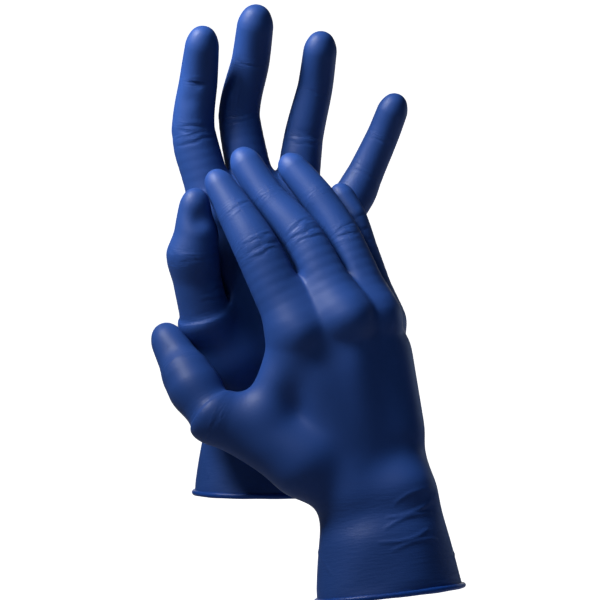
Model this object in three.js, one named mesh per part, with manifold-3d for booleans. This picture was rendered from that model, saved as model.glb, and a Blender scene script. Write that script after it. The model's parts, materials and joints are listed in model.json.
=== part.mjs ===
// A worn pair of thin blue gloves, the right glove laid over the left one, palm to palm.
// Each glove is one dipped film. It is split here at the lines where the film bends: the
// wrist, the knuckles, two joints in each finger and two in the thumb. The hands are left
// out, so every finger is hollow and both cuffs are open.
// Millimetres, +Z up. The origin is the centre of the left cuff's opening, and the left
// palm faces -Y.
import * as THREE from "three";
import { ConvexGeometry } from "three/addons/geometries/ConvexGeometry.js";
import { mergeVertices } from "three/addons/utils/BufferGeometryUtils.js";
import Module from "manifold-3d";

const wasm = await Module();
wasm.setup();

// Driving dimensions
const FILM = 0.8; // wall of every shell
const GAP = 0.3; // clearance on each side of a bend line
const BEAD_RADIUS = 1.4; // rolled bead round each cuff
const CUFF_HALF = [36, 27]; // half width and half depth of a cuff's opening
const CUFF_LAP = 12; // how far a cuff's form runs past its wrist before it is trimmed
const WRIST_LAP = 8; // how far a palm's form runs past its wrist before it is trimmed
const BALL_DETAIL = 1; // facets of the balls that the shells are stretched over
const RIM_SIDES = 28; // corners of a wrist or cuff ellipse
const BEAD_SIDES = 8; // corners of the bead's round section
const TRIM_BLOCK = 400; // edge of the block that trims a shell, larger than a glove

// How far each line bends, in degrees. A positive bend closes the fingers, carries the
// thumb outwards, and at the wrist tips the hand towards -Y.
const BENDS = {
  left: {
    wrist: [-30, 0],
    knuckles: [-25, 0],
    finger: [0, 65],
    fingertip: [0, 39],
    thumb: [0, 30],
    thumbTip: [0, 20],
  },
  right: {
    wrist: [-25, 20],
    knuckles: [-25, 0],
    finger: [-12, 0],
    fingertip: [-8, 0],
    thumb: [0, 30],
    thumbTip: [0, 20],
  },
};

// A ball is [x, y, z, radius]. A finger runs through four: knuckle, middle joint, end joint
// and fingertip. The thumb runs through its root, its two joints and its tip. A finger
// bends towards faces, the way that its inner side looks.
const LEFT_FACES = [0.17, -0.985, 0];
const LEFT = {
  side: "left",
  cuffAt: [0, 0, 0],
  wristAt: [0, 0, 50],
  wristHalf: [30, 21],
  heel: [[-6, -3, 64, 17], [22, -3, 66, 17]],
  fingers: {
    index: {
      faces: LEFT_FACES,
      balls: [[-24.5, -7, 143.5, 12.5], [-36, -7, 185.5, 10.7], [-33.2, -12, 211.5, 9.5], [-30.2, -18, 228.2, 8.4]],
    },
    middle: {
      faces: LEFT_FACES,
      balls: [[-4.5, -1, 145.5, 12.5], [-13.2, 2, 193.5, 10.5], [-7.2, -3, 221.2, 9.6], [-3.4, -9, 239.3, 9.1]],
    },
    ring: {
      faces: LEFT_FACES,
      balls: [[14.5, 3, 140.5, 12], [19.8, 7, 183, 10], [25.7, 3, 208.2, 8.9], [29.4, -3, 227.3, 8.4]],
    },
    little: {
      faces: LEFT_FACES,
      balls: [[33, 5, 131, 11.5], [51.4, 9, 164.5, 9], [60.3, 6, 183.5, 8.1], [64.2, 2, 197.2, 7.7]],
    },
  },
  webs: [[-18, -4, 154, 8.5], [3.5, 1, 155, 8.5], [28, 5, 145, 8.5]],
  thumb: [[-17, -10, 70, 17], [-29.3, -22, 90.5, 12.5], [-35.8, -30, 122.5, 11.5], [-33.6, -34.5, 146, 7.7]],
  thumbWeb: [-20, -14, 104, 13],
};

const RIGHT = {
  side: "right",
  cuffAt: [62, -52, -45],
  wristAt: [56.5, -48, 4],
  wristHalf: [30, 18.5],
  heel: [[42.5, -46.5, 18, 15.5], [64.5, -45, 18, 16]],
  fingers: {
    index: {
      faces: [-0.24, 0.97, 0],
      balls: [[17, -48, 84, 13.5], [-3, -42, 124.5, 11.4], [-13.3, -35.5, 142.5, 9.5], [-22, -30.5, 156.6, 7.4]],
    },
    middle: {
      faces: [-0.29, 0.96, 0],
      balls: [[40.5, -48.5, 90, 13], [19, -36, 130.5, 10.4], [2, -27.5, 150, 9], [-9, -21.5, 167.5, 8]],
    },
    ring: {
      faces: [-0.55, 0.83, 0],
      balls: [[54.5, -38.5, 91, 12], [39.4, -28.8, 130.5, 9.2], [27, -22.3, 150.5, 8.5], [14, -17, 165, 7.6]],
    },
    little: {
      faces: [-0.8, 0.6, 0],
      balls: [[60, -21, 89, 10.8], [49, -14, 126.5, 7.6], [44.5, -12, 141, 7.2], [40, -9.8, 152, 6.5]],
    },
  },
  webs: [[19, -43, 100, 9], [40, -37, 101, 9], [54, -26, 100, 9]],
  thumb: [[20, -49, 20, 15], [-24.6, -47, 42.6, 12.6], [-39.7, -33, 65.2, 10.7], [-47.2, -22.5, 78.1, 8.8]],
  thumbWeb: [1, -47, 41, 10.5],
};

// Materials: the matt film, and the same film rolled up into the bead
const film = new THREE.MeshStandardMaterial({ color: 0x1c3a86, roughness: 0.5, metalness: 0 });
const bead = new THREE.MeshStandardMaterial({ color: 0x17316f, roughness: 0.45, metalness: 0 });

const X = new THREE.Vector3(1, 0, 0);
const Z = new THREE.Vector3(0, 0, 1);
const vec = ([x, y, z]) => new THREE.Vector3(x, y, z);
const turnFromZ = (direction) => new THREE.Quaternion().setFromUnitVectors(Z, direction);

const gloves = new THREE.Group();
gloves.userData.hinges = {}; // place, axis and range of each bend line, for posing the gloves

// A closed geometry as a manifold-3d solid, and back.
function toSolid(geometry) {
  const flat = geometry.index ? geometry.toNonIndexed() : geometry;
  const bare = new THREE.BufferGeometry();
  bare.setAttribute("position", flat.getAttribute("position"));
  const merged = mergeVertices(bare, 1e-4);
  return new wasm.Manifold(new wasm.Mesh({
    numProp: 3,
    vertProperties: new Float32Array(merged.attributes.position.array),
    triVerts: new Uint32Array(merged.index.array),
  }));
}

function toGeometry(solid) {
  const mesh = solid.getMesh();
  const geometry = new THREE.BufferGeometry();
  geometry.setAttribute("position", new THREE.BufferAttribute(new Float32Array(mesh.vertProperties), 3));
  geometry.setIndex(new THREE.BufferAttribute(new Uint32Array(mesh.triVerts), 1));
  geometry.computeVertexNormals();
  return geometry;
}

function addPiece(name, solid, material = film) {
  const mesh = new THREE.Mesh(toGeometry(solid), material);
  mesh.name = name;
  gloves.add(mesh);
}

function addHinge(name, { at, axis, low, high }) {
  gloves.userData.hinges[name] = { at: at.toArray(), axis: axis.toArray(), low, high };
}

// Points on a ball, and on a wrist or cuff ellipse that lies square to a direction. An
// inset of FILM gives the inner side of the film.
function ballPoints([x, y, z, radius], inset) {
  const ball = new THREE.IcosahedronGeometry(radius - inset, BALL_DETAIL).translate(x, y, z);
  const position = ball.getAttribute("position");
  return Array.from({ length: position.count }, (_, i) => new THREE.Vector3().fromBufferAttribute(position, i));
}

function ellipsePoints(centre, direction, half, inset) {
  const [width, depth] = half.map((size) => size - inset);
  return Array.from({ length: RIM_SIDES }, (_, i) => {
    const angle = (2 * Math.PI * i) / RIM_SIDES;
    const point = new THREE.Vector3(width * Math.cos(angle), depth * Math.sin(angle), 0);
    return point.applyQuaternion(turnFromZ(direction)).add(centre);
  });
}

// A form is what the film is stretched over, as a function of the inset. Most are hulls
// of a few balls.
const hull = (points) => toSolid(new ConvexGeometry(points));
const hullOf = (...balls) => (inset) => hull(balls.flatMap((ball) => ballPoints(ball, inset)));
const joined = (solids) => solids.reduce((sum, solid) => sum.add(solid));

// The film over some forms: each is trimmed by its own cuts, and the inside is hollowed out.
function shell(forms) {
  const outside = forms.map(({ form, cuts = [] }) => cuts.reduce((solid, cut) => cut(solid), form(0)));
  const inside = forms.map(({ form }) => form(FILM));
  return joined(outside).subtract(joined(inside));
}

// A bend line lies across the film at one place. What lies beyond it turns about axis.
function bendLine(at, before, after, [low, high], towards) {
  const arriving = vec(at).sub(vec(before)).normalize();
  const leaving = vec(after).sub(vec(at)).normalize();
  const along = arriving.add(leaving).normalize();
  const axis = along.clone().cross(towards).normalize();
  return { at: vec(at), along, axis, low, high };
}

// Cuts a solid off at a bend line. Half of the bend's range is left free on each side, so
// that the two edges only meet where the range ends.
function cutAt({ at, along, axis, low, high }, side) {
  return (solid) => [0, low / 2, high / 2].reduce((rest, degrees) => {
    const turned = along.clone().applyAxisAngle(axis, THREE.MathUtils.degToRad(side * degrees));
    const outwards = turned.multiplyScalar(side);
    const block = new THREE.BoxGeometry(TRIM_BLOCK, TRIM_BLOCK, TRIM_BLOCK).translate(0, 0, TRIM_BLOCK / 2);
    block.applyQuaternion(turnFromZ(outwards));
    block.translate(...at.clone().addScaledVector(outwards, -GAP).toArray());
    return rest.subtract(toSolid(block));
  }, solid);
}
const keepBefore = (line) => cutAt(line, 1);
const keepBeyond = (line) => cutAt(line, -1);

function wristLine({ side, wristAt }) {
  const [low, high] = BENDS[side].wrist;
  return { at: vec(wristAt), along: Z, axis: X, low, high };
}

// The knuckles turn together, about a line from the index finger's to the little finger's.
function knuckleLine({ side, wristAt, fingers }) {
  const { index, middle, ring, little } = fingers;
  const row = vec(little.balls[0]).sub(vec(index.balls[0])).normalize();
  const centre = vec(index.balls[0]).add(vec(little.balls[0])).multiplyScalar(0.5);
  const rise = vec(middle.balls[0]).add(vec(ring.balls[0])).multiplyScalar(0.5).sub(vec(wristAt));
  const along = rise.addScaledVector(row, -rise.dot(row)).normalize();
  const closes = Math.sign(along.clone().cross(vec(middle.faces)).dot(row));
  const [low, high] = BENDS[side].knuckles;
  return { at: centre, along, axis: row.multiplyScalar(closes), low, high };
}

// The thumb turns outwards, in the plane of the palm.
function thumbLine(at, before, after, range) {
  return bendLine(at, before, after, range, new THREE.Vector3(-1, 0, 0));
}

// The rolled bead: a round section carried round the cuff's ellipse.
function cuffBead(cuffAt, up) {
  const [wide, deep] = CUFF_HALF;
  const section = Array.from({ length: BEAD_SIDES + 1 }, (_, i) => {
    const angle = (2 * Math.PI * (i % BEAD_SIDES)) / BEAD_SIDES;
    return new THREE.Vector2(wide + BEAD_RADIUS * Math.cos(angle), BEAD_RADIUS * Math.sin(angle));
  });
  const ring = new THREE.LatheGeometry(section, RIM_SIDES);
  ring.rotateX(Math.PI / 2).scale(1, deep / wide, 1);
  ring.applyQuaternion(turnFromZ(up));
  ring.translate(...vec(cuffAt).addScaledVector(up, BEAD_RADIUS).toArray());
  return toSolid(ring);
}

function addCuff({ side, cuffAt, wristAt, wristHalf }, up, wrist) {
  const top = vec(wristAt);
  const past = top.clone().addScaledVector(up, CUFF_LAP);
  const foot = 2 * BEAD_RADIUS + GAP;
  const form = (inset) => hull([
    ...ellipsePoints(past, up, wristHalf, inset),
    ...ellipsePoints(top, up, wristHalf, inset),
    ...ellipsePoints(vec(cuffAt).addScaledVector(up, foot - 5 * inset), up, CUFF_HALF, inset),
  ]);
  addPiece(`${side}_cuff`, shell([{ form, cuts: [keepBefore(wrist)] }]));
  addPiece(`${side}_cuff_bead`, cuffBead(cuffAt, up), bead);
}

// The palm is the slab between wrist and knuckles, the mound that carries the thumb, and
// the web from the thumb to the index finger.
function addPalm({ side, wristAt, wristHalf, heel, fingers, thumb, thumbWeb }, up, wrist, knuckles, thumbBend) {
  const knuckleBalls = Object.values(fingers).map((finger) => finger.balls[0]);
  const ring = (inset) => ellipsePoints(vec(wristAt).addScaledVector(up, -WRIST_LAP), up, wristHalf, inset);
  const slab = (inset) => hull([
    ...ring(inset),
    ...[...heel, ...knuckleBalls].flatMap((ball) => ballPoints(ball, inset)),
  ]);
  const mound = hullOf(thumb[0], thumb[1], thumbWeb);
  const [x, y, z, radius] = knuckleBalls[0];
  const web = hullOf(thumb[0], thumbWeb, [x, y, z, radius - 1]);
  const cuts = [keepBeyond(wrist), keepBefore(knuckles)];
  const thumbCuts = [...cuts, keepBefore(thumbBend)];
  addPiece(`${side}_palm`, shell([
    { form: slab, cuts },
    { form: mound, cuts: thumbCuts },
    { form: web, cuts: thumbCuts },
  ]));
}

// The finger bases are one piece, because the webs between them tie the film together.
function addFingerBases({ side, fingers, webs }, knuckles, fingerBends) {
  const names = Object.keys(fingers);
  const bases = names.map((name) => {
    const [knuckle, joint] = fingers[name].balls;
    return { form: hullOf(knuckle, joint), cuts: [keepBeyond(knuckles), keepBefore(fingerBends[name])] };
  });
  const ties = webs.map((web, i) => {
    const [one, next] = [fingers[names[i]].balls[0], fingers[names[i + 1]].balls[0]];
    return { form: hullOf(one, next, web), cuts: [keepBeyond(knuckles)] };
  });
  addPiece(`${side}_finger_bases`, shell([...bases, ...ties]));
}

// The two pieces beyond a finger's or thumb's first free joint.
function addMiddleAndTip(name, [joint, endJoint, tip], first, last) {
  const middleForm = { form: hullOf(joint, endJoint), cuts: [keepBeyond(first), keepBefore(last)] };
  const tipForm = { form: hullOf(endJoint, tip), cuts: [keepBeyond(last)] };
  addPiece(`${name}_middle`, shell([middleForm]));
  addPiece(`${name}_tip`, shell([tipForm]));
}

function addGlove(hand) {
  const { side, fingers, thumb } = hand;
  const bends = BENDS[side];
  const up = vec(hand.wristAt).sub(vec(hand.cuffAt)).normalize();
  const wrist = wristLine(hand);
  const knuckles = knuckleLine(hand);
  const thumbBend = thumbLine(thumb[1], thumb[0], thumb[2], bends.thumb);
  const thumbTipBend = thumbLine(thumb[2], thumb[1], thumb[3], bends.thumbTip);
  addHinge(`${side}_wrist`, wrist);
  addHinge(`${side}_knuckles`, knuckles);
  addHinge(`${side}_thumb`, thumbBend);
  addHinge(`${side}_thumb_tip`, thumbTipBend);

  const fingerBends = {};
  addCuff(hand, up, wrist);
  addPalm(hand, up, wrist, knuckles, thumbBend);
  for (const [name, { faces, balls }] of Object.entries(fingers)) {
    const first = bendLine(balls[1], balls[0], balls[2], bends.finger, vec(faces));
    const last = bendLine(balls[2], balls[1], balls[3], bends.fingertip, vec(faces));
    fingerBends[name] = first;
    addHinge(`${side}_${name}`, first);
    addHinge(`${side}_${name}_tip`, last);
    addMiddleAndTip(`${side}_${name}`, balls.slice(1), first, last);
  }
  addFingerBases(hand, knuckles, fingerBends);
  addMiddleAndTip(`${side}_thumb`, thumb.slice(1), thumbBend, thumbTipBend);
}

addGlove(LEFT);
addGlove(RIGHT);

export default gloves;
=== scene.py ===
"""A worn pair of thin blue film gloves, the right glove laid over the left one, palm to palm.

Each glove is built as one smooth surface over a hand shaped from balls, tubes and a wrist
sleeve. The surface is then parted into pieces, one for each part of the frame; only the palm
piece is attached to its body. Lengths are in millimetres until a
mesh is made.
"""
import json
import math

import bpy
import numpy as np
import openvdb
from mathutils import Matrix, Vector


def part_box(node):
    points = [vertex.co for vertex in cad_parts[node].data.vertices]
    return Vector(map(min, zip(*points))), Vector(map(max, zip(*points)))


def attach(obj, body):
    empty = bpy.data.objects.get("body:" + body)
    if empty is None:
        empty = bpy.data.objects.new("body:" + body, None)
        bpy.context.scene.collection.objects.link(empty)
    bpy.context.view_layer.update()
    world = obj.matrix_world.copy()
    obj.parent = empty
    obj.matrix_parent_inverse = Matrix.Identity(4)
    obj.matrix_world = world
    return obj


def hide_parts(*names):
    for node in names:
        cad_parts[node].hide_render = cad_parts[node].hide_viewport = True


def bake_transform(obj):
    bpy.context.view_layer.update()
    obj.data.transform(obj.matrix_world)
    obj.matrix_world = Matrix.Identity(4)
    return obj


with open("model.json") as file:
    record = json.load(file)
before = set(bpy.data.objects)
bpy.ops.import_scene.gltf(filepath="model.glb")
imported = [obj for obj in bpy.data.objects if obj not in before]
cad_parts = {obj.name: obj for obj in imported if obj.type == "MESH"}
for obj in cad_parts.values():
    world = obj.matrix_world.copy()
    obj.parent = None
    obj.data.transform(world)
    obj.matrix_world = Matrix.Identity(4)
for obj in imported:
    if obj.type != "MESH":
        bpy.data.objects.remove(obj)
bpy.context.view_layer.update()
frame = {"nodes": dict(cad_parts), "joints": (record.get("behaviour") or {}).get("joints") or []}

VOXEL = 0.8  # spacing of the grid that the surface is drawn on
FILM = 0.5  # thickness of the film that is shown
FAR = 40.0  # distance given to what lies well outside a form
SLIT = 1.8  # least space between two fingers of one glove, and beside its thumb
METRE = 0.001

FINGERS = ["index", "middle", "ring", "little"]
joints = {j["name"]: j for j in frame["joints"]}


def place(name):
    """Where a joint of the frame is."""
    return np.array(joints[name]["pos_m"]) * 1000


def axis_of(name):
    axis = np.array(joints[name]["axis"], float)
    return axis / np.linalg.norm(axis)


def unit(v):
    v = np.asarray(v, float)
    return v / np.linalg.norm(v)


def far_end(node, start, radius):
    """Centre of the ball that closes a tip node, seen from the joint that it starts at."""
    points = np.array([v.co for v in frame["nodes"][node].data.vertices]) * 1000
    reach = points - start
    length = np.linalg.norm(reach, axis=1)
    tip = points[np.argmax(length)]
    return tip - unit(tip - start) * radius


# ---------------------------------------------------------------- the two hands
# A ball is x, y, z and radius. A finger's bones are counted from 0, at the knuckle, and a turn is in
# degrees about the finger, with 0 where the palm faces.
# faces: the way that the palm looks. cuff_at: the centre of the cuff's open end.
# wrist_half: half the wrist's width and half its depth.
# knuckles: the balls of the four knuckles, index first.
# radii: of each finger at the middle joint, the end joint and the tip.
# webs: the balls between neighbouring fingers. heel: the two sides of the palm's lower end.
# pads: strokes from ball to ball. The first one thickens the thumb, the others the palm.
# marks: (finger, bone, share of it, turn, rise, reach along, sweep round) for each bump or dent.
# creases: (finger, place in bones, turn, depth, sweep round) for each fine crease.
# swellings: (x, y, z, reach, rise) for each soft swelling or hollow of the back of the hand.
HANDS = {
    "left": {
        "faces": (0.17, -0.985, 0),
        "cuff_at": (0, 0, 0),
        "wrist_half": (29.5, 20.5),
        "knuckles": [(-24.5, -7, 143.5, 12.5), (-4.5, -1, 145.5, 12.5),
                     (14.5, 3, 140.5, 12), (33, 5, 131, 11.5)],
        "radii": [(10.7, 9.5, 8.4), (10.5, 9.6, 9.1), (10.0, 8.9, 8.4), (9.0, 8.1, 7.7)],
        "webs": [(-18, -4, 154, 8.5), (3.5, 1, 155, 8.5), (28, 5, 145, 8.5)],
        "heel": [(-6, -3, 64, 17), (22, -3, 66, 17)],
        "thumb_root": (-17, -10, 70, 17),
        "thumb_radii": (12.5, 11.5, 7.8),
        "thumb_web": (-19, -6, 98, 11.5),
        "pads": [((-32.6, -31.5, 131, 9.3), (-35, -30, 121.5, 11.4))],
        "marks": [("index", 1, 0.93, -8, -0.8, 3.0, 3.5), ("index", 1, 0.6, -30, -0.4, 4, 5),
                  ("thumb", 2, 0.75, 8, -1.3, 4.5, 4.5), ("thumb", 2, 0.45, -85, -1.3, 7, 9),
                  ("thumb", 1, 0.55, 20, -0.8, 5, 6),
                  ("middle", 1, 0.08, 0, -0.5, 4, 8), ("ring", 1, 0.06, 0, -0.5, 4, 8),
                  ("little", 0, 0.75, 90, 1.2, 9, 8), ("index", 0, 0.8, -90, 0.9, 10, 8)],
        "creases": [("index", 0.86, 0, 0.35, 11), ("index", 0.93, 12, 0.3, 9),
                    ("index", 1.0, 0, 0.4, 12), ("index", 1.12, -10, 0.3, 9), ("index", 1.95, 0, 0.25, 8),
                    ("middle", 0.92, 0, 0.3, 12), ("middle", 1.0, 0, 0.35, 12), ("middle", 1.95, 0, 0.25, 9),
                    ("ring", 0.9, 0, 0.25, 11), ("ring", 0.98, 0, 0.3, 11), ("ring", 1.95, 0, 0.2, 8),
                    ("little", 0.97, 0, 0.3, 10), ("little", 1.9, 0, 0.2, 7),
                    ("thumb", 1.33, 40, 0.4, 9), ("thumb", 1.45, 45, 0.35, 9), ("thumb", 1.97, 0, 0.25, 10)],
        "swellings": [],
    },
    "right": {
        "faces": (-0.3, 0.95, 0),
        "cuff_at": (62, -52, -45),
        "wrist_half": (29.5, 16.5),
        "knuckles": [(17, -48, 84, 13.5), (40.5, -48.5, 90, 13),
                     (54.5, -38.5, 91, 12), (59.5, -21, 89, 10.2)],
        "radii": [(11.4, 9.5, 7.4), (10.4, 9.0, 8.0), (9.2, 8.5, 7.6), (7.6, 7.2, 6.5)],
        "webs": [(19, -43, 100, 9), (40, -37, 101, 9), (54, -26, 100, 9)],
        "heel": [(42.5, -45.5, 18, 16), (64.5, -38, 18, 16)],
        "thumb_root": (20, -49, 20, 15),
        "thumb_radii": (11.8, 10.7, 8.8),
        "thumb_web": (1, -47, 41, 10.5),
        "pads": [((-34.5, -41, 56.5, 12), (-37, -38, 61, 11.3)),
                 ((61.8, -34, 74, 11.6), (65.5, -38, 36, 13.4))],
        "marks": [("thumb", 2, 0.45, 150, -0.8, 6, 5), ("index", 0, 0.5, 180, -0.5, 9, 7),
                  ("middle", 0, 0.5, 180, -0.6, 9, 7), ("ring", 0, 0.5, 180, -0.5, 9, 6)],
        "creases": [("index", 0.9, 180, 0.3, 8), ("index", 0.97, 185, 0.35, 9),
                    ("index", 1.06, 175, 0.3, 8), ("index", 1.97, 180, 0.2, 6),
                    ("middle", 0.9, 180, 0.3, 8), ("middle", 0.98, 176, 0.35, 9),
                    ("middle", 1.1, 184, 0.25, 8),
                    ("ring", 0.97, 180, 0.25, 7), ("ring", 1.08, 180, 0.2, 7),
                    ("little", 1.1, 175, 0.3, 6), ("little", 1.5, 180, 0.35, 6), ("little", 1.9, 180, 0.3, 6),
                    ("thumb", 1.95, 180, 0.25, 8), ("thumb", 0.95, 150, 0.25, 10)],
        "swellings": [(20, -62, 83, 7, 0.8), (46, -61, 91, 7, 0.7), (27, -61, 71, 8, -0.9),
                      (40, -62, 77, 9, -0.8), (5, -58, 60, 8, 0.6)],
    },
}
CUFF_HALF = (36.0, 27.0)
BEAD_RADIUS = 1.4


def chain_of(side, finger):
    """Joints of a finger or thumb, from its root to its tip, with a radius at each."""
    hand = HANDS[side]
    first, last = place(f"{side}_{finger}_bend"), place(f"{side}_{finger}_tip_bend")
    if finger == "thumb":
        root, radii = np.array(hand["thumb_root"], float), hand["thumb_radii"]
    else:
        root = np.array(hand["knuckles"][FINGERS.index(finger)], float)
        radii = hand["radii"][FINGERS.index(finger)]
    tip = far_end(f"{side}_{finger}_tip", last, radii[2])
    return np.array([root[:3], first, last, tip]), np.array([root[3], *radii])


def along_curve(points, radii, steps=9):
    """A smooth curve through the joints and out to the dome of the tip, with a radius at each point."""
    padded = np.vstack([2 * points[0] - points[1], points, 2 * points[-1] - points[-2]])
    out, sizes = [], []
    for i in range(len(points) - 1):
        a, b, c, d = padded[i:i + 4]
        for t in np.linspace(0, 1, steps, endpoint=i == len(points) - 2):
            spline = 0.5 * (2 * b + (c - a) * t + (2 * a - 5 * b + 4 * c - d) * t ** 2
                            + (3 * b - a - 3 * c + d) * t ** 3)
            straight = b + (c - b) * t
            out.append(0.6 * spline + 0.4 * straight)
            sizes.append(radii[i] * (1 - t) + radii[i + 1] * t)
    out.append(out[-1] + 0.3 * sizes[-1] * unit(out[-1] - out[-3]))
    sizes.append(0.87 * sizes[-1])
    return np.array(out), np.array(sizes)


# ---------------------------------------------------------------- distance fields
class Field:
    """Distances to a form on a regular grid."""

    def __init__(self, low, high):
        self.low = np.asarray(low, float)
        self.shape = tuple(int(n) + 1 for n in np.ceil((np.asarray(high) - self.low) / VOXEL))
        self.lines = [self.low[k] + VOXEL * np.arange(self.shape[k]) for k in range(3)]

    def empty(self):
        return np.full(self.shape, FAR, np.float32)

    def block(self, low, high):
        """The part of the grid inside a box: its slices, and its coordinates."""
        start = np.floor((np.asarray(low) - self.low) / VOXEL).astype(int)
        stop = np.ceil((np.asarray(high) - self.low) / VOXEL).astype(int) + 1
        start, stop = np.clip(start, 0, self.shape), np.clip(stop, 0, self.shape)
        part = tuple(slice(a, b) for a, b in zip(start, stop))
        x, y, z = (self.lines[k][part[k]].astype(np.float32) for k in range(3))
        return part, (x[:, None, None], y[None, :, None], z[None, None, :])

    def sample(self, values, points):
        """Values and their slope at points, from the eight cells round each."""
        at = (points - self.low) / VOXEL
        base = np.clip(np.floor(at).astype(int), 0, np.array(self.shape) - 2)
        f = np.clip(at - base, 0, 1)
        corners = {}
        for i in (0, 1):
            for j in (0, 1):
                for k in (0, 1):
                    corners[i, j, k] = values[base[:, 0] + i, base[:, 1] + j, base[:, 2] + k]

        def mix(slope_axis=None):
            total = 0
            for (i, j, k), value in corners.items():
                weight = 1
                for axis, corner in enumerate((i, j, k)):
                    if axis == slope_axis:
                        weight = weight * (1 if corner else -1) / VOXEL
                    else:
                        weight = weight * (f[:, axis] if corner else 1 - f[:, axis])
                total = total + weight * value
            return total
        return mix(), np.stack([mix(axis) for axis in range(3)], axis=1)


def smooth_min(a, b, k):
    """The nearer of two forms, with a fillet of about k between them."""
    overlap = np.maximum(k - np.abs(a - b), 0) / k
    return np.minimum(a, b) - overlap * overlap * (k / 4)


def soften(values, spread):
    """Evens out a form over a length of about spread."""
    for _ in range(round(2 * (spread / VOXEL) ** 2)):
        for axis in range(3):
            line = np.swapaxes(values, 0, axis)
            even = line.copy()
            even[1:-1] = (line[:-2] + line[2:]) / 4 + line[1:-1] / 2
            values = np.swapaxes(even, 0, axis)
    return values


def cone_distance(grid, a, ra, b, rb, face=None, flatten=1.0):
    """Distance to a ball that goes from a to b while its radius goes from ra to rb."""
    x, y, z = grid
    dx, dy, dz = x - a[0], y - a[1], z - a[2]
    ex, ey, ez = b[0] - a[0], b[1] - a[1], b[2] - a[2]
    if face is not None:
        lift = (flatten - 1) * (dx * face[0] + dy * face[1] + dz * face[2])
        dx, dy, dz = dx + lift * face[0], dy + lift * face[1], dz + lift * face[2]
        rise = (flatten - 1) * (ex * face[0] + ey * face[1] + ez * face[2])
        ex, ey, ez = ex + rise * face[0], ey + rise * face[1], ez + rise * face[2]
    length2 = max(ex * ex + ey * ey + ez * ez, 1e-6)
    t = np.clip((dx * ex + dy * ey + dz * ez) / length2, 0, 1)
    px, py, pz = dx - t * ex, dy - t * ey, dz - t * ez
    return np.sqrt(px * px + py * py + pz * pz) - (ra + (rb - ra) * t)


def add_cone(field, values, a, b, k, face=None, flatten=1.0):
    """Joins one tapering stroke, from ball a to ball b, to the form in values."""
    a, b = np.asarray(a, float), np.asarray(b, float)
    reach = max(a[3], b[3]) + k + 6
    low, high = np.minimum(a[:3], b[:3]) - reach, np.maximum(a[:3], b[:3]) + reach
    part, grid = field.block(low, high)
    new = cone_distance(grid, a[:3], a[3], b[:3], b[3], face, flatten)
    values[part] = smooth_min(values[part], new, k)


def tube_field(field, points, radii, face, flatten):
    values = field.empty()
    for i in range(len(points) - 1):
        add_cone(field, values, [*points[i], radii[i]], [*points[i + 1], radii[i + 1]], 0.6, face, flatten)
    return values


def add_sleeve(field, values, hand, up, wide, deep, length, k):
    """The cuff and wrist: an oval sleeve that narrows from the cuff to the wrist."""
    start = np.array(hand["cuff_at"], float)
    across_wrist, through_wrist = hand["wrist_half"]
    heights = [-20, 0, 14, 30, length - 8, length + 14]
    across = [CUFF_HALF[0], CUFF_HALF[0], 33.6, 31.2, across_wrist, across_wrist - 9]
    through = [CUFF_HALF[1], CUFF_HALF[1], 24.4, 22.0, through_wrist, through_wrist - 8]
    ends = [start - 22 * up, start + (length + 22) * up]
    low, high = np.minimum(*ends) - 46, np.maximum(*ends) + 46
    part, (x, y, z) = field.block(low, high)
    dx, dy, dz = x - start[0], y - start[1], z - start[2]
    height = dx * up[0] + dy * up[1] + dz * up[2]
    u = dx * wide[0] + dy * wide[1] + dz * wide[2]
    v = dx * deep[0] + dy * deep[1] + dz * deep[2]
    a = np.interp(height, heights, across).astype(np.float32)
    b = np.interp(height, heights, through).astype(np.float32)
    out = np.sqrt(u * u + v * v) + 1e-6
    edge = a * b / np.sqrt((b * u / out) ** 2 + (a * v / out) ** 2)
    ring = np.maximum(out - edge, height - (length + 8))
    values[part] = smooth_min(values[part], ring, k)


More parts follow.
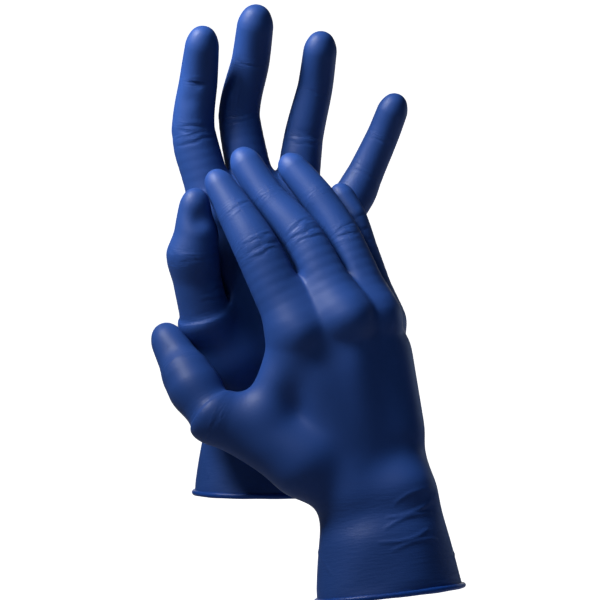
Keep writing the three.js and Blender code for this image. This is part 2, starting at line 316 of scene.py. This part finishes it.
def hand_field(side):
    """The form of the whole hand, of all but its thumb, and of the thumb alone."""
    hand = HANDS[side]
    nodes = [n for n in frame["nodes"] if n.startswith(side)]
    corners = np.array([[*corner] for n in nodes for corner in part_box(n)]) * 1000
    field = Field(corners.min(0) - 5, corners.max(0) + 5)
    cuff_at, wrist_at = np.array(hand["cuff_at"], float), place(f"{side}_wrist_bend")
    up = unit(wrist_at - cuff_at)
    length = float(np.linalg.norm(wrist_at - cuff_at))
    face = unit(hand["faces"])

    turn = Vector((0, 0, 1)).rotation_difference(Vector(up))
    wide, deep = np.array(turn @ Vector((1, 0, 0))), np.array(turn @ Vector((0, 1, 0)))
    across, through = hand["wrist_half"]
    wrist = [np.array([*(wrist_at + way * (across - through) * wide), through - 0.6]) for way in (-1, 1)]

    palm = field.empty()
    heel = [np.array(ball, float) for ball in hand["heel"]]
    knuckles = [np.array(ball, float) for ball in hand["knuckles"]]
    for step in np.linspace(0, 3, 10):
        i = min(int(step), 2)
        ball = knuckles[i] + (knuckles[i + 1] - knuckles[i]) * (step - i)
        foot = heel[0] + (heel[1] - heel[0]) * (step / 3)
        narrow = wrist[0] + (wrist[1] - wrist[0]) * (step / 3)
        ball[3] -= 0.5 + 1.2 * math.sin(math.pi * (step - i)) ** 2
        add_cone(field, palm, foot, ball, 2)
        add_cone(field, palm, narrow, foot, 2)
    root = np.array(hand["thumb_root"], float)
    chain, radii = chain_of(side, "thumb")
    joint = np.array([*chain[1], radii[1]])
    web = np.array(hand["thumb_web"], float)
    add_cone(field, palm, root, joint, 9)
    add_cone(field, palm, [*root[:3], root[3] - 3], [*wrist[0][:3], wrist[0][3] - 2], 8)
    add_cone(field, palm, root, web, 10)
    add_cone(field, palm, web, joint, 7)
    add_cone(field, palm, web, [*knuckles[0][:3], knuckles[0][3] - 1.5], 8)
    add_sleeve(field, palm, hand, up, wide, deep, length, 5)
    for start, end in hand["pads"][1:]:
        add_cone(field, palm, start, end, 6)
    palm = soften(palm, 2.8)

    fingers = {}
    for name in FINGERS:
        chain, radii = chain_of(side, name)
        points, sizes = along_curve(chain, radii)
        fingers[name] = tube_field(field, points, sizes, face, 1.05)
    for i, web in enumerate(hand["webs"]):
        for ball in knuckles[i:i + 2]:
            add_cone(field, palm, [*ball[:3], ball[3] - 2], [*web[:3], web[3] - 1], 6)

    grid = [line.astype(np.float32) for line in field.lines]
    x, y, z = grid[0][:, None, None], grid[1][None, :, None], grid[2][None, None, :]
    trimmed = {name: values.copy() for name, values in fingers.items()}
    for i, web in enumerate(hand["webs"]):
        one, two = FINGERS[i], FINGERS[i + 1]
        ahead = unit(unit(chain_of(side, one)[0][1] - chain_of(side, one)[0][0])
                     + unit(chain_of(side, two)[0][1] - chain_of(side, two)[0][0]))
        beyond = (x - web[0]) * ahead[0] + (y - web[1]) * ahead[1] + (z - web[2]) * ahead[2] - 5
        apart = SLIT / 2 + np.minimum(beyond, 0) * 0.3
        halfway = (fingers[one] - fingers[two]) / 2
        trimmed[one] = -smooth_min(-trimmed[one], -apart - halfway, 2)
        trimmed[two] = -smooth_min(-trimmed[two], halfway - apart, 2)
    body = palm.copy()
    for name in FINGERS:
        body = smooth_min(body, smooth_min(palm, trimmed[name], 7.0), 0.5)
    chain, radii = chain_of(side, "thumb")
    points, sizes = along_curve(chain[1:], radii[1:])
    thumb = tube_field(field, points, sizes, None, 1.0)
    add_cone(field, thumb, *hand["pads"][0], 7)
    hinge, ahead, _, _ = bend_plane(side, f"{side}_thumb_bend", "thumb")
    past = (x - hinge[0]) * ahead[0] + (y - hinge[1]) * ahead[1] + (z - hinge[2]) * ahead[2]
    apart = SLIT + np.minimum(past - 6, 0) * 0.4
    rest = -smooth_min(-body, thumb - apart, 3)
    free = np.clip(past / 7, 0, 1)
    body = (1 - free) * smooth_min(rest, thumb, 5.0) + free * np.minimum(rest, thumb)
    lay = {"up": up, "length": length, "wide": wide, "deep": deep}
    return field, body, rest, thumb, lay


# ---------------------------------------------------------------- surface
def vertex_normals(points, quads):
    diagonal_a = points[quads[:, 2]] - points[quads[:, 0]]
    diagonal_b = points[quads[:, 3]] - points[quads[:, 1]]
    face = np.cross(diagonal_a, diagonal_b)
    total = np.zeros_like(points)
    for corner in range(4):
        for k in range(3):
            total[:, k] += np.bincount(quads[:, corner], face[:, k], len(points))
    return total / (np.linalg.norm(total, axis=1, keepdims=True) + 1e-12)


def neighbour_mean(points, quads):
    total, count = np.zeros_like(points), np.zeros(len(points))
    for a, b in ((0, 1), (1, 2), (2, 3), (3, 0)):
        for i, j in ((a, b), (b, a)):
            count += np.bincount(quads[:, i], minlength=len(points))
            for k in range(3):
                total[:, k] += np.bincount(quads[:, i], points[quads[:, j], k], len(points))
    return total / np.maximum(count, 1)[:, None]


def draw_surface(field, values):
    """The surface where the distance is 0, evened out along itself."""
    grid = openvdb.FloatGrid()
    grid.copyFromArray(values.astype(np.float32))
    points, quads = grid.convertToQuads()
    points = np.asarray(points, float) * VOXEL + field.low
    quads = np.asarray(quads, int)
    for _ in range(4):
        normals = vertex_normals(points, quads)
        move = neighbour_mean(points, quads) - points
        points = points + 0.6 * (move - (move * normals).sum(1, keepdims=True) * normals)
        distance, slope = field.sample(values, points)
        steep = np.maximum((slope ** 2).sum(1, keepdims=True), 0.2)
        points = points - np.clip(distance, -VOXEL, VOXEL)[:, None] * slope / steep
    _, slope = field.sample(values, points)
    if (vertex_normals(points, quads) * slope).sum() < 0:
        quads = quads[:, ::-1]
    return points, quads


def smoothstep(a, b, x):
    t = np.clip((x - a) / (b - a), 0, 1)
    return t * t * (3 - 2 * t)


# ---------------------------------------------------------------- dents, creases and folds
# Each fold of a cuff: its height and its place round the sleeve at both ends, and how far it rises.
FOLDS = {
    "left": [(14, 20, 30, 44, 0.5), (22, -8, 34, 14, 0.4), (10, -30, 24, -46, 0.5), (34, 30, 44, 52, 0.4)],
    "right": [(44, 8, 50, 34, 0.5), (38, 2, 45, 34, 0.6), (33, 0, 38, 32, 0.6), (27, -4, 31, 26, 0.6),
              (22, 2, 25, 30, 0.5), (40, 22, 50, 42, 0.5), (14, -30, 26, -52, 0.5), (16, 40, 24, 66, 0.5)],
}


def along_finger(side, finger, points):
    """For each point: the bone that it is on, its way along the finger, and its turn about it."""
    chain, radii = chain_of(side, finger)
    gap, at = closest_on(points, chain)
    i = np.minimum(at.astype(int), 2)
    lengths = np.linalg.norm(np.diff(chain, axis=0), axis=1)
    starts = np.concatenate([[0], np.cumsum(lengths)])
    ahead = np.diff(chain, axis=0) / lengths[:, None]
    beyond = np.maximum(((points - chain[-1]) * ahead[-1]).sum(1), 0)
    way = starts[i] + (at - i) * lengths[i] + beyond
    spot = chain[i] + (at - i)[:, None] * (chain[i + 1] - chain[i])
    face = unit(HANDS[side]["faces"])
    across = np.cross(ahead[i], face)
    across /= np.linalg.norm(across, axis=1, keepdims=True)
    front = np.cross(across, ahead[i])
    out = points - spot
    turn = np.degrees(np.arctan2((out * across).sum(1), (out * front).sum(1)))
    radius = radii[i] + (radii[i + 1] - radii[i]) * (at - i)
    return gap - radius, way, turn, radius, starts


def turn_between(turn, middle):
    return (turn - middle + 180) % 360 - 180


def add_details(side, lay, points, normals):
    """Moves the surface in and out, and returns how wrinkled the film is at each point."""
    hand = HANDS[side]
    height = np.zeros(len(points))
    wrinkle = np.zeros(len(points))
    line = np.zeros(len(points))
    round_it = np.zeros(len(points))
    nearest = np.full(len(points), 1e9)
    for number, finger in enumerate([*FINGERS, "thumb"]):
        off, way, turn, radius, starts = along_finger(side, finger, points)
        mine = (off < 4) & (off < nearest)
        nearest = np.where(mine, off, nearest)
        line = np.where(mine, way + 40 * number, line)
        round_it = np.where(mine, np.radians(turn) * radius, round_it)
        hold = smoothstep(4.5, 1.5, off)
        for name, bone, share, middle, rise, reach, sweep in hand["marks"]:
            if name == finger:
                spot = starts[bone] + share * (starts[bone + 1] - starts[bone])
                arc = np.radians(turn_between(turn, middle)) * radius
                height += hold * rise * np.exp(-((way - spot) / reach) ** 2 - (arc / sweep) ** 2)
        for count, (name, where, middle, depth, sweep) in enumerate(hand["creases"]):
            if name == finger:
                bone = min(int(where), 2)
                spot = starts[bone] + (where - bone) * (starts[bone + 1] - starts[bone])
                arc = np.radians(turn_between(turn, middle)) * radius
                bend = 0.5 * np.sin(arc / 3.1 + 2.3 * count) + 0.25 * np.sin(arc / 1.3 + count)
                fade = np.exp(-(arc / sweep) ** 4)
                height -= 0.8 * hold * depth * fade * np.exp(-((way - spot - bend) / 0.75) ** 2)
                height += hold * 0.35 * depth * fade * np.exp(-((way - spot - bend - 1.7) / 1.1) ** 2)
        for joint in (1, 2):
            wide = 6.5 if joint == 1 else 4.5
            wrinkle = np.maximum(wrinkle, hold * np.exp(-((way - starts[joint]) / wide) ** 2))
    for x, y, z, reach, rise in hand["swellings"]:
        apart = np.linalg.norm(points - (x, y, z), axis=1)
        height += rise * np.exp(-(apart / reach) ** 2)

    start = np.array(hand["cuff_at"], float)
    up_by = (points - start) @ lay["up"]
    wide, deep = (points - start) @ lay["wide"], (points - start) @ lay["deep"]
    arc = 31 * np.arctan2(wide / CUFF_HALF[0], -deep / CUFF_HALF[1])
    sleeve = smoothstep(lay["length"] + 12, lay["length"] - 2, up_by)
    for number, (h0, a0, h1, a1, rise) in enumerate(FOLDS[side]):
        along = (up_by - h0) * (h1 - h0) + (arc - a0) * (a1 - a0)
        share = np.clip(along / ((h1 - h0) ** 2 + (a1 - a0) ** 2), 0, 1)
        sag = 2.2 * np.sin(math.pi * share) * (-1) ** number
        apart = np.hypot(up_by - h0 - share * (h1 - h0) - sag, arc - a0 - share * (a1 - a0))
        height += sleeve * rise * np.sin(math.pi * share) ** 0.5 * np.exp(-(apart / 0.9) ** 2)
    slack = np.sin(arc / 9 + 0.05 * up_by) * 0.5 + np.sin(arc / 5.3 - up_by / 11) * 0.35
    height += sleeve * smoothstep(lay["length"], 12, up_by) * 0.9 * slack * smoothstep(0, 8, up_by)
    wrinkle = np.maximum(wrinkle, 0.4 * sleeve)
    line = np.where(sleeve > 0.3, up_by + 300, line)
    round_it = np.where(sleeve > 0.3, arc, round_it)
    return points + height[:, None] * normals, {"fold": wrinkle, "fold_line": line, "fold_round": round_it}


# ---------------------------------------------------------------- parting into pieces
# How far along the film, measured from its joint, each kind of bend starts and ends.
BENDS_FROM = {"wrist": -12, "knuckle": -13, "finger": -9.5, "fingertip": -6, "thumb": 1, "thumb_tip": -6}
BENDS_TO = {"wrist": 12, "knuckle": 13, "finger": 9.5, "fingertip": 6, "thumb": 15, "thumb_tip": 6}
THUMB_TIP_FROM = 1.66  # in bones from the thumb's root
THUMB_MARGIN = 0.7  # film that is this much nearer to the rest of the hand still counts as the thumb's


def closest_on(points, chain):
    """Distance from points to a chain of bones, and how far along it they are, in bones."""
    best, where = np.full(len(points), 1e9), np.zeros(len(points))
    for i in range(len(chain) - 1):
        a, b = chain[i], chain[i + 1]
        t = (points - a) @ (b - a) / ((b - a) @ (b - a))
        held = np.clip(t, 0, 1)
        d = np.linalg.norm(points - a - held[:, None] * (b - a), axis=1)
        nearer = d < best
        best, where = np.where(nearer, d, best), np.where(nearer, i + held, where)
    return best, where


def bend_plane(side, name, kind):
    """A joint's place, the direction that the film runs there, and where it bends."""
    joint = place(name)
    if kind == "wrist":
        cuff = np.array(HANDS[side]["cuff_at"], float)
        along = unit(joint - cuff)
    elif kind == "knuckle":
        first = [chain_of(side, f)[0] for f in FINGERS]
        mean = sum(unit(c[1] - c[0]) for c in first)
        row = axis_of(name)
        along = unit(mean - (mean @ row) * row)
    else:
        finger = name[len(side) + 1:].replace("_tip_bend", "").replace("_bend", "")
        chain = chain_of(side, finger)[0]
        i = 2 if "_tip_bend" in name else 1
        along = unit(unit(chain[i] - chain[i - 1]) + unit(chain[i + 1] - chain[i]))
    return joint, along, joint + BENDS_FROM[kind] * along, joint + BENDS_TO[kind] * along


def label_faces(side, centres, in_thumb):
    """For each face, the piece that it belongs to."""
    labels = np.full(len(centres), "palm", dtype=object)
    _, along, start, _ = bend_plane(side, f"{side}_knuckle_bend", "knuckle")
    gaps = {f: closest_on(centres, chain_of(side, f)[0]) for f in FINGERS}
    _, at_thumb = closest_on(centres, chain_of(side, "thumb")[0])
    labels[((centres - start) @ along > -2) & ~in_thumb] = "finger_bases"
    nearest = np.argmin(np.stack([gaps[f][0] for f in FINGERS]), axis=0)
    for i, f in enumerate(FINGERS):
        _, at = gaps[f]
        mine = (nearest == i) & (labels == "finger_bases")
        labels[mine & (at > 0.5)] = f"{f}_middle"
        labels[mine & (at > 1.5)] = f"{f}_tip"
    _, along, start, _ = bend_plane(side, f"{side}_thumb_bend", "thumb")
    mine = in_thumb & ((centres - start) @ along > -1) & (at_thumb > 0.5)
    labels[mine] = "thumb_middle"
    labels[mine & (at_thumb > THUMB_TIP_FROM)] = "thumb_tip"
    _, along, _, end = bend_plane(side, f"{side}_wrist_bend", "wrist")
    labels[(labels == "palm") & ((centres - end) @ along < 1)] = "cuff"
    return labels


def make_piece(name, points, normals, quads, chosen, wrinkles):
    """A closed piece of film: the outside, the inside, and the edge between them."""
    faces = quads[chosen]
    used, flat = np.unique(faces, return_inverse=True)
    faces = flat.reshape(-1, 4)
    outer, up = points[used], normals[used]
    inner = outer - up * FILM
    count = len(used)
    edges = np.concatenate([faces[:, [i, (i + 1) % 4]] for i in range(4)])
    keys = np.sort(edges, axis=1)
    order = keys[:, 0] * count + keys[:, 1]
    _, index, times = np.unique(order, return_index=True, return_counts=True)
    rim = edges[index[times == 1]]
    sides = np.stack([rim[:, 1], rim[:, 0], rim[:, 0] + count, rim[:, 1] + count], axis=1)
    all_faces = np.concatenate([faces, faces[:, ::-1] + count, sides])
    all_points = np.concatenate([outer, inner]) * METRE
    mesh = bpy.data.meshes.new(name)
    mesh.from_pydata(all_points.tolist(), [], all_faces.tolist())
    mesh.shade_smooth()
    mesh.normals_split_custom_set_from_vertices(np.concatenate([up, -up]).tolist())
    for layer, values in wrinkles.items():
        attribute = mesh.attributes.new(layer, "FLOAT", "POINT")
        attribute.data.foreach_set("value", np.tile(values[used], 2).astype(np.float32))
    piece = bpy.data.objects.new(name, mesh)
    bpy.context.scene.collection.objects.link(piece)
    return piece


def fit_piece(piece, side, label):
    """Hides the piece's part of the frame and lets the palm piece ride on its body; the other pieces stay
    where they are made.
    """
    node = f"{side}_{label}"
    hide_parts(node)
    if label == "palm":
        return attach(piece, node)
    if label == "cuff":
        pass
    elif label == "finger_bases":
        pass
    elif label == "thumb_middle":
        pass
    elif label == "thumb_tip":
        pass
    elif label.endswith("_middle"):
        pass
    else:
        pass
    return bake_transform(piece)


# ---------------------------------------------------------------- materials
def film_material(name, colour, roughness):
    material = bpy.data.materials.new(name)
    material.use_nodes = True
    nodes, links = material.node_tree.nodes, material.node_tree.links
    shader = nodes["Principled BSDF"]
    shader.inputs["Roughness"].default_value = roughness
    shader.inputs["Specular IOR Level"].default_value = 0.25
    where = nodes.new("ShaderNodeTexCoord")
    tone = nodes.new("ShaderNodeTexNoise")
    tone.inputs["Scale"].default_value = 30
    tone.inputs["Detail"].default_value = 3
    links.new(where.outputs["Object"], tone.inputs["Vector"])
    ramp = nodes.new("ShaderNodeValToRGB")
    ramp.color_ramp.elements[0].position = 0.3
    ramp.color_ramp.elements[1].position = 0.7
    ramp.color_ramp.elements[0].color = (*[c * 0.92 for c in colour], 1)
    ramp.color_ramp.elements[1].color = (*[c * 1.06 for c in colour], 1)
    links.new(tone.outputs["Fac"], ramp.inputs["Fac"])
    links.new(ramp.outputs["Color"], shader.inputs["Base Color"])
    grain = nodes.new("ShaderNodeTexNoise")
    grain.inputs["Scale"].default_value = 900
    grain.inputs["Detail"].default_value = 2
    links.new(where.outputs["Object"], grain.inputs["Vector"])
    bump = nodes.new("ShaderNodeBump")
    bump.inputs["Strength"].default_value = 0.12
    bump.inputs["Distance"].default_value = 0.0004
    links.new(grain.outputs["Fac"], bump.inputs["Height"])
    layers = {}
    for layer in ("fold", "fold_line", "fold_round"):
        layers[layer] = nodes.new("ShaderNodeAttribute")
        layers[layer].attribute_name = layer
    stretch = []
    for layer, factor in (("fold_line", 0.75), ("fold_round", 0.13)):
        times = nodes.new("ShaderNodeMath")
        times.operation = "MULTIPLY"
        times.inputs[1].default_value = factor
        links.new(layers[layer].outputs["Fac"], times.inputs[0])
        stretch.append(times)
    together = nodes.new("ShaderNodeCombineXYZ")
    links.new(stretch[0].outputs["Value"], together.inputs["X"])
    links.new(stretch[1].outputs["Value"], together.inputs["Y"])
    lines = nodes.new("ShaderNodeTexNoise")
    lines.inputs["Scale"].default_value = 1.0
    lines.inputs["Detail"].default_value = 3
    links.new(together.outputs["Vector"], lines.inputs["Vector"])
    held = nodes.new("ShaderNodeMath")
    held.operation = "MULTIPLY"
    links.new(lines.outputs["Fac"], held.inputs[0])
    links.new(layers["fold"].outputs["Fac"], held.inputs[1])
    folds = nodes.new("ShaderNodeBump")
    folds.inputs["Strength"].default_value = 0.35
    folds.inputs["Distance"].default_value = 0.001
    links.new(held.outputs["Value"], folds.inputs["Height"])
    links.new(bump.outputs["Normal"], folds.inputs["Normal"])
    links.new(folds.outputs["Normal"], shader.inputs["Normal"])
    return material


film = film_material("nitrile_film", (0.015, 0.054, 0.225), 0.52)
bead_film = film_material("rolled_film", (0.007, 0.052, 0.28), 0.4)


# ---------------------------------------------------------------- the gloves
def make_bead(side, lay):
    """The cuff's rolled bead, a little uneven along its length."""
    start = np.array(HANDS[side]["cuff_at"], float) + lay["up"] * BEAD_RADIUS
    around, section = 180, 14
    points, faces = [], []
    for i in range(around):
        angle = 2 * math.pi * i / around
        wide, deep = math.cos(angle) * lay["wide"], math.sin(angle) * lay["deep"]
        out = unit(wide * CUFF_HALF[1] + deep * CUFF_HALF[0])
        centre = start + CUFF_HALF[0] * wide + CUFF_HALF[1] * deep
        radius = BEAD_RADIUS * (1 + 0.05 * math.sin(5 * angle) + 0.04 * math.sin(13 * angle + 1))
        for j in range(section):
            turn = 2 * math.pi * j / section
            points.append((centre + radius * (math.cos(turn) * out + math.sin(turn) * lay["up"])) * METRE)
            a, b = i * section + j, i * section + (j + 1) % section
            c, d = ((i + 1) % around) * section + (j + 1) % section, ((i + 1) % around) * section + j
            faces.append((a, d, c, b))
    mesh = bpy.data.meshes.new(f"{side}_bead")
    mesh.from_pydata([tuple(p) for p in points], [], faces)
    mesh.shade_smooth()
    bead = bpy.data.objects.new(f"{side}_bead", mesh)
    bpy.context.scene.collection.objects.link(bead)
    bead.data.materials.append(bead_film)
    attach(bead, f"{side}_cuff")
    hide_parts(f"{side}_cuff_bead")


def make_glove(side):
    field, values, rest, thumb, lay = hand_field(side)
    points, quads = draw_surface(field, values)
    rim = np.array(HANDS[side]["cuff_at"], float) + lay["up"] * BEAD_RADIUS
    height = (points - rim) @ lay["up"]
    quads = quads[(height[quads] > 0).all(1)]
    normals = vertex_normals(points, quads)
    points, wrinkles = add_details(side, lay, points, normals)
    normals = vertex_normals(points, quads)
    centres = points[quads].mean(1)
    in_thumb = field.sample(thumb, centres)[0] < field.sample(rest, centres)[0] + THUMB_MARGIN
    labels = label_faces(side, centres, in_thumb)
    for label in sorted(set(labels)):
        piece = make_piece(f"{side}_{label}_film", points, normals, quads, labels == label, wrinkles)
        piece.data.materials.append(film)
        fit_piece(piece, side, label)
        print(piece.name, len(piece.data.polygons))
    make_bead(side, lay)


for side in HANDS:
    make_glove(side)


# ---------------------------------------------------------------- stage, light, camera
def plane(name, size, location, rotation, colour, glow=0.0):
    bpy.ops.mesh.primitive_plane_add(size=size, location=location, rotation=rotation)
    made = bpy.context.object
    made.name = name
    material = bpy.data.materials.new(name)
    material.use_nodes = True
    shader = material.node_tree.nodes["Principled BSDF"]
    shader.inputs["Base Color"].default_value = (*colour, 1)
    shader.inputs["Roughness"].default_value = 0.9
    shader.inputs["Emission Color"].default_value = (1, 1, 1, 1)
    shader.inputs["Emission Strength"].default_value = glow
    made.data.materials.append(material)
    return made


plane("floor", 4, (0, 0, -0.19), (0, 0, 0), (0.85, 0.85, 0.85), 0.12)
plane("backdrop", 0.8, (0.018, 0.9, 0.0995), (math.radians(90), 0, 0), (0.9, 0.9, 0.9), 1.0)


def aim_lamp(name, kind, location, target, power, colour=(1, 1, 1)):
    """A lamp at location that looks at target."""
    light = bpy.data.lights.new(name, kind)
    light.energy = power
    light.color = colour
    lamp = bpy.data.objects.new(name, light)
    lamp.location = location
    lamp.rotation_mode = "QUATERNION"
    lamp.rotation_quaternion = (Vector(target) - Vector(location)).to_track_quat("-Z", "Y")
    bpy.context.scene.collection.objects.link(lamp)
    return light


key = aim_lamp("key", "SPOT", (-0.30, -0.15, 0.53), (0.0, -0.02, 0.19), 31)
key.shadow_soft_size = 0.11
key.spot_size = math.radians(40)
key.spot_blend = 1.0
front = aim_lamp("front", "SPOT", (-0.28, -0.42, 0.5), (-0.012, -0.03, 0.14), 7.5)
front.shadow_soft_size = 0.1
front.spot_size = math.radians(15)
front.spot_blend = 1.0
fill = aim_lamp("fill", "AREA", (0.55, -0.6, 0.25), (0.02, 0, 0.1), 0.12, (0.05, 0.3, 1))
fill.size = 0.4
rim = aim_lamp("rim", "AREA", (0.5, 0.35, 0.15), (0.06, -0.03, 0.05), 0.25, (0.6, 0.75, 1))
rim.size = 0.15

world = bpy.data.worlds.new("studio")
world.use_nodes = True
world.node_tree.nodes["Background"].inputs["Color"].default_value = (0.6, 0.8, 1, 1)
world.node_tree.nodes["Background"].inputs["Strength"].default_value = 0.06
bpy.context.scene.world = world
bpy.context.scene.view_settings.view_transform = "Standard"

VIEW_DISTANCE = 1.15
VIEW_PLANE = -0.025
VIEW_FIELD = 0.3
camera_data = bpy.data.cameras.new("camera")
camera_data.angle = 2 * math.atan(VIEW_FIELD / 2 / VIEW_DISTANCE)
camera = bpy.data.objects.new("camera", camera_data)
camera.location = (0.018, VIEW_PLANE - VIEW_DISTANCE, 0.0995)
camera.rotation_euler = (math.radians(90), 0, 0)
bpy.context.scene.collection.objects.link(camera)
bpy.context.scene.camera = camera
